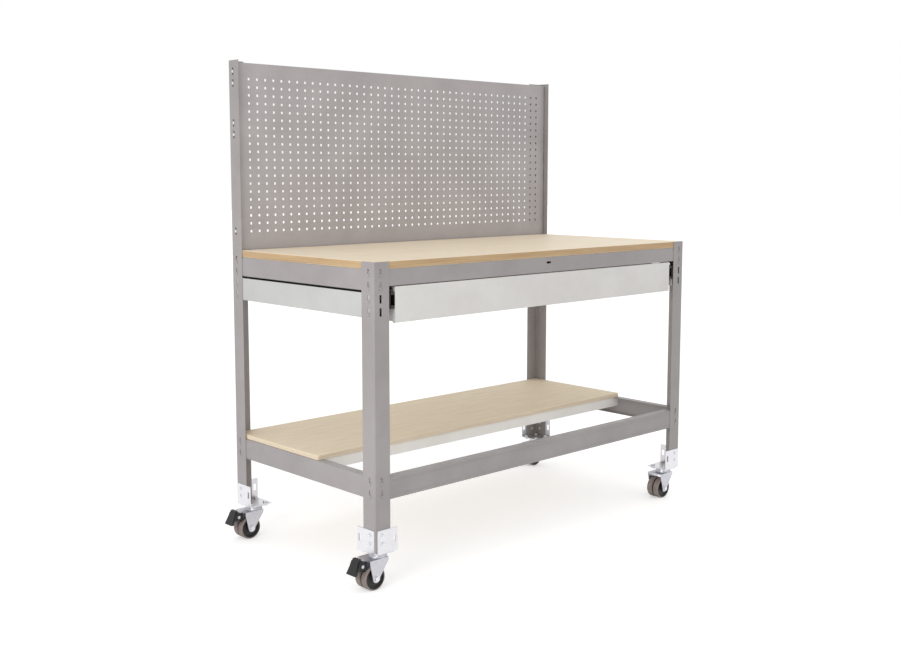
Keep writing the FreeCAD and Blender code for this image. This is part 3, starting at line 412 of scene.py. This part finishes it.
def only(piece):
    """Makes a piece the one selected and active object."""
    deselect()
    piece.select_set(True)
    bpy.context.view_layer.objects.active = piece
    return piece


def settle(piece):
    """Puts the piece's place into its mesh."""
    only(piece)
    bpy.ops.object.transform_apply(location=True, rotation=True, scale=True)
    return piece


def pick(piece, kind, test):
    """In edit mode, selects the faces or edges that pass the test."""
    bpy.ops.mesh.select_mode(type=kind)
    bpy.ops.mesh.select_all(action="DESELECT")
    mesh = bmesh.from_edit_mesh(piece.data)
    for element in mesh.faces if kind == "FACE" else mesh.edges:
        element.select_set(test(element))
    mesh.select_flush_mode()
    bmesh.update_edit_mesh(piece.data)


def middle(edge):
    return (edge.verts[0].co + edge.verts[1].co) / 2


def apply_all(piece):
    """Puts the piece's modifiers into its mesh."""
    only(piece)
    for modifier in list(piece.modifiers):
        bpy.ops.object.modifier_apply(modifier=modifier.name)


def finish_piece(piece, name, body, slot, nodes, own=None):
    """Names a piece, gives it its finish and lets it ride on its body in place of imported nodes."""
    settle(piece)
    piece.name = name
    piece.data.name = name
    piece.data.materials.clear()
    piece.data.materials.append(own or finishes[slot])
    bpy.ops.object.shade_smooth_by_angle(angle=math.radians(smooth_turn))
    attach(piece, body)
    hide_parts(*nodes)


# ------------------------------------------------------------------ back panel
def rim_distance(spot, low, high):
    """How far a place is inside the panel's outline, seen from the front."""
    return min(spot.x - low.x, high.x - spot.x, spot.z - low.z, high.z - spot.z)


def at_corner(spot, low, high):
    """Whether a place is at a corner of the panel's outline, seen from the front."""
    beside = min(spot.x - low.x, high.x - spot.x)
    above = min(spot.z - low.z, high.z - spot.z)
    return beside < near and above < near


def peg_grid(first):
    """Flat sheet with its whole grid of square holes, set out from the lowest on the left."""
    deselect()
    bpy.ops.mesh.primitive_plane_add(size=1, location=first, rotation=(math.pi / 2, 0, 0))
    panel = bpy.context.object
    panel.scale = (peg_pitch_x, peg_pitch_z, 1)
    settle(panel)
    half = peg_hole / 2
    bpy.ops.object.mode_set(mode="EDIT")
    for offset in (-half, half):
        for axis in ((1, 0, 0), (0, 0, 1)):
            bpy.ops.mesh.select_all(action="SELECT")
            bpy.ops.mesh.bisect(plane_co=first + Vector(axis) * offset, plane_no=axis)
    pick(panel, "FACE", lambda f: max(abs(c) for c in f.calc_center_median() - first) < half)
    bpy.ops.mesh.delete(type="FACE")
    bpy.ops.object.mode_set(mode="OBJECT")
    for count, step in ((peg_columns, (peg_pitch_x, 0, 0)), (peg_rows, (0, 0, peg_pitch_z))):
        array = panel.modifiers.new("rows", "ARRAY")
        array.count = count
        array.use_relative_offset = False
        array.use_constant_offset = True
        array.constant_offset_displace = step
        array.use_merge_vertices = True
        array.merge_threshold = peg_weld
    apply_all(panel)
    return panel


def widen(panel, first, low, high):
    """Draws the sheet out from its grid to the panel's outline, and its rim to the back."""
    left = first.x - peg_pitch_x / 2
    foot = first.z - peg_pitch_z / 2
    right = left + peg_columns * peg_pitch_x
    top = foot + peg_rows * peg_pitch_z
    bpy.ops.object.mode_set(mode="EDIT")
    for axis, at, target in ((0, left, low.x), (0, right, high.x), (2, foot, low.z), (2, top, high.z)):
        pick(panel, "EDGE", lambda e: all(abs(v.co[axis] - at) < near for v in e.verts))
        step = [0, 0, 0]
        step[axis] = target - at
        bpy.ops.mesh.extrude_region_move(TRANSFORM_OT_translate={"value": step})
    pick(panel, "EDGE", lambda e: e.is_boundary and rim_distance(middle(e), low, high) < near)
    bpy.ops.mesh.extrude_region_move(TRANSFORM_OT_translate={"value": (0, high.y - low.y, 0)})
    bpy.ops.mesh.select_all(action="SELECT")
    bpy.ops.mesh.normals_make_consistent(inside=False)
    bpy.ops.object.mode_set(mode="OBJECT")


def round_folds(panel, low, high):
    """Bevels the rim of the panel's face and the corners between its sides."""
    weights = panel.data.attributes.new("bevel_weight_edge", "FLOAT", "EDGE")
    for edge in panel.data.edges:
        a, b = (panel.data.vertices[i].co for i in edge.vertices)
        front_rim = max(a.y, b.y) < low.y + near and rim_distance((a + b) / 2, low, high) < near
        corner = abs(a.y - b.y) > near and at_corner(a, low, high) and at_corner(b, low, high)
        weights.data[edge.index].value = 1.0 if front_rim or corner else 0.0
    fold = panel.modifiers.new("fold", "BEVEL")
    fold.limit_method = "WEIGHT"
    fold.width = panel_fold
    fold.segments = fold_segments


def back_panel():
    """Folded sheet tray with its whole grid of square holes."""
    low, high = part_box("pegboard_panel")
    centre_x = (low.x + high.x) / 2
    first_x = centre_x - (peg_columns - 1) * peg_pitch_x / 2
    first_z = high.z - peg_top_margin - (peg_rows - 1) * peg_pitch_z
    first = Vector((first_x, low.y, first_z))
    panel = peg_grid(first)
    widen(panel, first, low, high)
    round_folds(panel, low, high)
    shell = panel.modifiers.new("sheet", "SOLIDIFY")
    shell.thickness = panel_sheet
    shell.offset = -1
    apply_all(panel)
    finish_piece(panel, "pegboard_sheet", "frame", "grey_panel_coat", ["pegboard_panel"])


# ------------------------------------------------------------------ folded sheet along the drawer
def upright_sheet(low, high, at):
    """Sheet along Y, upright at x = at."""
    deselect()
    bpy.ops.mesh.primitive_plane_add(size=1, location=(at, (low.y + high.y) / 2, (low.z + high.z) / 2),
                                     rotation=(0, math.pi / 2, 0))
    sheet = bpy.context.object
    sheet.scale = (high.z - low.z, high.y - low.y, 1)
    return settle(sheet)


def fold_leg(sheet, height, *steps):
    """Folds a leg out of the long edge at a height, one step after another."""
    bpy.ops.object.mode_set(mode="EDIT")
    pick(sheet, "EDGE", lambda e: all(abs(v.co.z - height) < near for v in e.verts))
    for step in steps:
        bpy.ops.mesh.extrude_region_move(TRANSFORM_OT_translate={"value": step})
    bpy.ops.object.mode_set(mode="OBJECT")


def thicken(sheet):
    """Rounds the folds and gives the sheet its thickness, inwards."""
    bpy.ops.object.mode_set(mode="EDIT")
    pick(sheet, "EDGE", lambda e: len(e.link_faces) == 2)
    bpy.ops.mesh.bevel(offset=fold_round, segments=fold_segments)
    bpy.ops.mesh.select_all(action="SELECT")
    bpy.ops.mesh.normals_make_consistent(inside=False)
    bpy.ops.object.mode_set(mode="OBJECT")
    shell = sheet.modifiers.new("sheet", "SOLIDIFY")
    shell.thickness = hanger_sheet
    shell.offset = -1
    apply_all(sheet)


def drawer_rails(side):
    """The hanger between two posts, and the slide's outer member along the whole of it."""
    low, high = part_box(f"drawer_hanger_{side}")
    outer, inner = (low.x, high.x) if side == "left" else (high.x, low.x)
    hanger = upright_sheet(low, high + Vector((0, 0, hanger_lift)), outer)
    fold_leg(hanger, low.z, (inner - outer, 0, 0), (0, 0, hanger_leg))
    thicken(hanger)
    # Its coat is the white powder coat darkened as painted shade.
    finish_piece(hanger, f"hanger_{side}", "frame", "white_powder_coat", [f"drawer_hanger_{side}"],
                 own=hanger_painted_shade_coat)
    end = high.y + rail_overhang
    low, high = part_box(f"slide_outer_{side}")
    web, lip = (low.x, high.x) if side == "left" else (high.x, low.x)
    rail = upright_sheet(low, Vector((high.x, end, high.z)), web)
    for height in (low.z, high.z):
        fold_leg(rail, height, (lip - web, 0, 0))
    thicken(rail)
    finish_piece(rail, f"outer_rail_{side}", "frame", "black_slide_coat", [f"slide_outer_{side}"])


# ------------------------------------------------------------------ fasteners
def loose_boxes(name):
    """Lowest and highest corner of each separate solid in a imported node, in a fixed order."""
    mesh = bmesh.new()
    mesh.from_mesh(frame["nodes"][name].data)
    bmesh.ops.remove_doubles(mesh, verts=mesh.verts, dist=hair)
    waiting = set(mesh.verts)
    boxes = []
    while waiting:
        next_ones = [waiting.pop()]
        found = []
        while next_ones:
            vertex = next_ones.pop()
            found.append(vertex.co.copy())
            neighbours = {edge.other_vert(vertex) for edge in vertex.link_edges} & waiting
            waiting -= neighbours
            next_ones.extend(neighbours)
        low = Vector([min(co[axis] for co in found) for axis in range(3)])
        high = Vector([max(co[axis] for co in found) for axis in range(3)])
        boxes.append((low, high))
    mesh.free()
    return sorted(boxes, key=lambda corners: tuple(corners[0]))


def seats(name, along):
    """Outer end, outward direction, length and width of each fastener; along picks its axis."""
    middle_of_table = (cad_box[0] + cad_box[1]) / 2
    found = []
    for low, high in loose_boxes(name):
        size = high - low
        axis = along(range(3), key=lambda k: size[k])
        centre = (low + high) / 2
        outward = Vector((0, 0, 0))
        outward[axis] = 1 if axis == 2 or centre[axis] > middle_of_table[axis] else -1
        width = min(size[k] for k in range(3) if k != axis)
        found.append((centre + outward * size[axis] / 2, outward, size[axis], width))
    return found


def disc(radius, low, high, sides=disc_sides):
    """Cylinder about Z between two heights."""
    deselect()
    bpy.ops.mesh.primitive_cylinder_add(vertices=sides, radius=radius, depth=high - low,
                                        location=(0, 0, (low + high) / 2))
    return settle(bpy.context.object)


def rounded(piece, width):
    """Bevels every sharp edge of a piece."""
    bevel_edges(piece, width)
    apply_all(piece)
    return piece


def joined(pieces):
    """One piece made of several, under the name of the first."""
    only(pieces[0])
    for piece in pieces[1:]:
        piece.select_set(True)
    if len(pieces) > 1:
        bpy.ops.object.join()
    return bpy.context.object


def domed_head(radius, rise, length, drive=0.0):
    """Round-headed fastener with its outer end at Z = 0 and its shank below."""
    head = disc(radius, -rise, -rise * dome_start)
    bpy.ops.object.mode_set(mode="EDIT")
    for inset, lift in dome_rings:
        top = max(v.co.z for v in head.data.vertices)
        pick(head, "FACE", lambda f: f.calc_center_median().z > top - hair and f.normal.z > facing_up)
        bpy.ops.mesh.inset(thickness=radius * inset, depth=0)
        bpy.ops.transform.translate(value=(0, 0, rise * lift))
        # The next round reads the heights from the mesh, which only follows when edit mode ends.
        bpy.ops.object.mode_set(mode="OBJECT")
        bpy.ops.object.mode_set(mode="EDIT")
    if drive:
        bpy.ops.mesh.inset(thickness=radius * drive_inset, depth=0)
        bpy.ops.mesh.extrude_region_move(TRANSFORM_OT_translate={"value": (0, 0, -drive)})
    bpy.ops.object.mode_set(mode="OBJECT")
    shank = disc(stud_shank, -length, -rise)
    return joined([head, shank])


def hex_bolt(shank, length):
    """Hex bolt with washers and nut along Z, its head's outer face at Z = 0."""
    rise = shank * head_share
    corner = shank * flats_share / math.sqrt(3)
    washer = corner * washer_share
    head_foot = -rise + washer_sheet
    grip_foot = -length + rise
    nut_top = grip_foot - washer_sheet
    parts = [
        rounded(disc(corner, head_foot, 0, hex_sides), shank * hex_bevel),
        rounded(disc(washer, -rise, head_foot, washer_sides), washer_sheet * washer_bevel),
        disc(shank / 2, grip_foot, -rise),
        rounded(disc(washer, nut_top, grip_foot, washer_sides), washer_sheet * washer_bevel),
        rounded(disc(corner, -length, nut_top, hex_sides), shank * hex_bevel),
    ]
    return joined(parts)


def set_out(pattern, places):
    """A copy of the pattern at each seat, joined into one piece; the pattern itself goes."""
    copies = []
    for place, outward, _, _ in places:
        only(pattern)
        bpy.ops.object.duplicate()
        copy = bpy.context.object
        copy.location = place
        copy.rotation_euler = outward.to_track_quat("Z", "Y").to_euler()
        copies.append(settle(copy))
    only(pattern)
    bpy.ops.object.delete()
    return joined(copies)


def hex_bolts(node, name, body):
    """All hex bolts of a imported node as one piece."""
    bolts = seats(node, max)
    pattern = hex_bolt(bolts[0][3] / flats_share, bolts[0][2])
    finish_piece(set_out(pattern, bolts), name, body, "zinc_fastener", [node])


def fasteners():
    """Studs in the slots, the panel's screws, and the bolts of brackets and casters."""
    studs = seats("beam_rivets", min)
    pattern = domed_head(studs[0][3] / 2, stud_rise, studs[0][2])
    finish_piece(set_out(pattern, studs), "slot_studs", "frame", "grey_powder_coat", ["beam_rivets"])
    screws = seats("pegboard_screws", max)
    pattern = domed_head(screws[0][3] / 2, stud_rise, screws[0][2], screw_drive)
    finish_piece(set_out(pattern, screws), "panel_screws", "frame", "zinc_fastener", ["pegboard_screws"])
    for node in ("bracket_bolts", "caster_bolts"):
        hex_bolts(node, f"hex_{node}", "frame")


# ------------------------------------------------------------------ wheels
def lathe(profile, centre):
    """Solid of revolution about a line along Y; profile holds (radius, distance along Y)."""
    mesh = bpy.data.meshes.new("profile")
    points = [(centre.x, centre.y + y, centre.z + r) for r, y in profile]
    count = len(points)
    mesh.from_pydata(points, [(n, (n + 1) % count) for n in range(count)], [])
    piece = bpy.data.objects.new("lathed", mesh)
    bpy.context.collection.objects.link(piece)
    only(piece)
    bpy.ops.object.mode_set(mode="EDIT")
    bpy.ops.mesh.select_all(action="SELECT")
    bpy.ops.mesh.spin(steps=spin_steps, angle=2 * math.pi, center=centre, axis=(0, 1, 0))
    bpy.ops.mesh.select_all(action="SELECT")
    bpy.ops.mesh.remove_doubles(threshold=lathe_weld)
    bpy.ops.mesh.normals_make_consistent(inside=False)
    bpy.ops.object.mode_set(mode="OBJECT")
    return piece


def arc(radius, y, size, start):
    """Points of a quarter round of the given size about (radius, y), from an angle in degrees."""
    turn = math.radians(90 / arc_steps)
    angles = [math.radians(start) + n * turn for n in range(arc_steps + 1)]
    return [(radius + size * math.cos(a), y + size * math.sin(a)) for a in angles]


def treads(corner):
    """Two soft tyres with round shoulders."""
    rings = []
    for low, high in loose_boxes(f"wheel_treads_{corner}"):
        centre = (low + high) / 2
        outer = (high.x - low.x) / 2
        inner = outer - tread_depth
        half = (high.y - low.y) / 2
        shoulder = outer - tread_round
        profile = [(inner, -half)] + arc(shoulder, -half + tread_round, tread_round, -90)
        profile += arc(shoulder, half - tread_round, tread_round, 0) + [(inner, half)]
        rings.append(lathe(profile, centre))
    finish_piece(joined(rings), f"tyres_{corner}", f"wheel_{corner}", "grey_tread",
                 [f"wheel_treads_{corner}"])


def core(corner):
    """Dished wheel centre with a hub, a rounded rim on each side and a rib between the tyres."""
    low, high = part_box(f"wheel_core_{corner}")
    tyre_low, tyre_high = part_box(f"wheel_treads_{corner}")
    centre = (tyre_low + tyre_high) / 2
    seat = (tyre_high.x - tyre_low.x) / 2 - tread_depth
    rib = (high.x - low.x) / 2
    half = (tyre_high.y - tyre_low.y) / 2
    hub_half = (high.y - low.y) / 2
    first, second = loose_boxes(f"wheel_treads_{corner}")
    groove = (second[0].y - first[1].y) / 2
    dish = seat - core_dish
    floor = half - core_dish
    right = [(wheel_bore, hub_half)]
    right += [(hub_radius - core_round, hub_half), (hub_radius, hub_half - core_round)]
    right += [(hub_radius, floor + core_round), (hub_radius + core_round, floor)]
    right += [(dish - core_round, floor), (dish, floor + core_round)]
    right += [(dish, half - core_round / 2), (dish + core_round / 2, half), (seat, half)]
    right += [(seat, groove), (rib, groove)]
    left = [(r, -y) for r, y in reversed(right)]
    piece = lathe(right + left, centre)
    finish_piece(piece, f"core_{corner}", f"wheel_{corner}", "black_wheel_plastic",
                 [f"wheel_core_{corner}"])


def axle(corner):
    """Axle bolt with its head, washers and nut outside the fork."""
    hex_bolts(f"caster_axle_{corner}", f"axle_{corner}", f"caster_{corner}")


# ------------------------------------------------------------------ stage
def seen_or_mirrored(tree):
    """1 for rays from the camera and from glossy surfaces, 0 for all others."""
    rays = tree.nodes.new("ShaderNodeLightPath")
    either = tree.nodes.new("ShaderNodeMath")
    either.operation = "MAXIMUM"
    tree.links.new(rays.outputs["Is Camera Ray"], either.inputs[0])
    tree.links.new(rays.outputs["Is Glossy Ray"], either.inputs[1])
    return either.outputs["Value"]


def add_floor():
    """Pale floor with a glow that only the camera and reflections see."""
    deselect()
    bpy.ops.mesh.primitive_plane_add(size=floor_size, location=(0, 0, 0))
    floor = bpy.context.object
    floor.name = "floor"
    finish = Finish("floor_white")
    finish.set(Base_Color=(floor_white, floor_white, floor_white, 1), Roughness=0.9, Specular_IOR_Level=0.1)
    seen = seen_or_mirrored(finish.tree)
    glow = finish.tree.nodes.new("ShaderNodeMath")
    glow.operation = "MULTIPLY"
    glow.inputs[1].default_value = floor_glow
    finish.link(seen, glow.inputs[0])
    finish.set(Emission_Color=(1, 1, 1, 1))
    finish.link(glow.outputs["Value"], finish.shader.inputs["Emission Strength"])
    floor.data.materials.append(finish.material)


def add_surroundings():
    """White all round, a little dimmer as a light than as a backdrop."""
    world = bpy.data.worlds.new("studio")
    bpy.context.scene.world = world
    world.use_nodes = True
    tree = world.node_tree
    background = tree.nodes["Background"]
    background.inputs["Color"].default_value = (1, 1, 1, 1)
    seen = seen_or_mirrored(tree)
    level = tree.nodes.new("ShaderNodeMapRange")
    level.inputs["To Min"].default_value = ambient
    level.inputs["To Max"].default_value = 1.0
    tree.links.new(seen, level.inputs["Value"])
    tree.links.new(level.outputs["Result"], background.inputs["Strength"])


def add_side_light():
    """Soft light from the left, aimed at the middle of the table."""
    bpy.ops.object.light_add(type="AREA", location=side_light_place)
    side_light = bpy.context.object
    side_light.name = "side_light"
    side_light.data.energy = side_light_power
    side_light.data.size = side_light_size
    away = Vector(side_light_place) - (cad_box[0] + cad_box[1]) / 2
    side_light.rotation_mode = "QUATERNION"
    side_light.rotation_quaternion = away.to_track_quat("Z", "Y")


def add_camera():
    """The camera that was solved from the photograph."""
    bpy.ops.object.camera_add(location=camera_place)
    camera = bpy.context.object
    camera.rotation_euler = (math.radians(90 - camera_dip), 0, math.radians(-camera_turn))
    camera.data.lens = camera_lens
    camera.data.sensor_width = camera_sensor
    camera.data.shift_x = camera_shift[0]
    camera.data.shift_y = camera_shift[1]
    bpy.context.scene.camera = camera


def stage():
    """Floor, surroundings, light and camera."""
    bpy.context.scene.view_settings.view_transform = "Standard"
    add_floor()
    add_surroundings()
    add_side_light()
    add_camera()


# ------------------------------------------------------------------ the whole picture
deselect()
dress_cad_nodes()
back_panel()
for side in SIDES:
    drawer_rails(side)
fasteners()
for corner in CORNERS:
    treads(corner)
    core(corner)
    axle(corner)
stage()
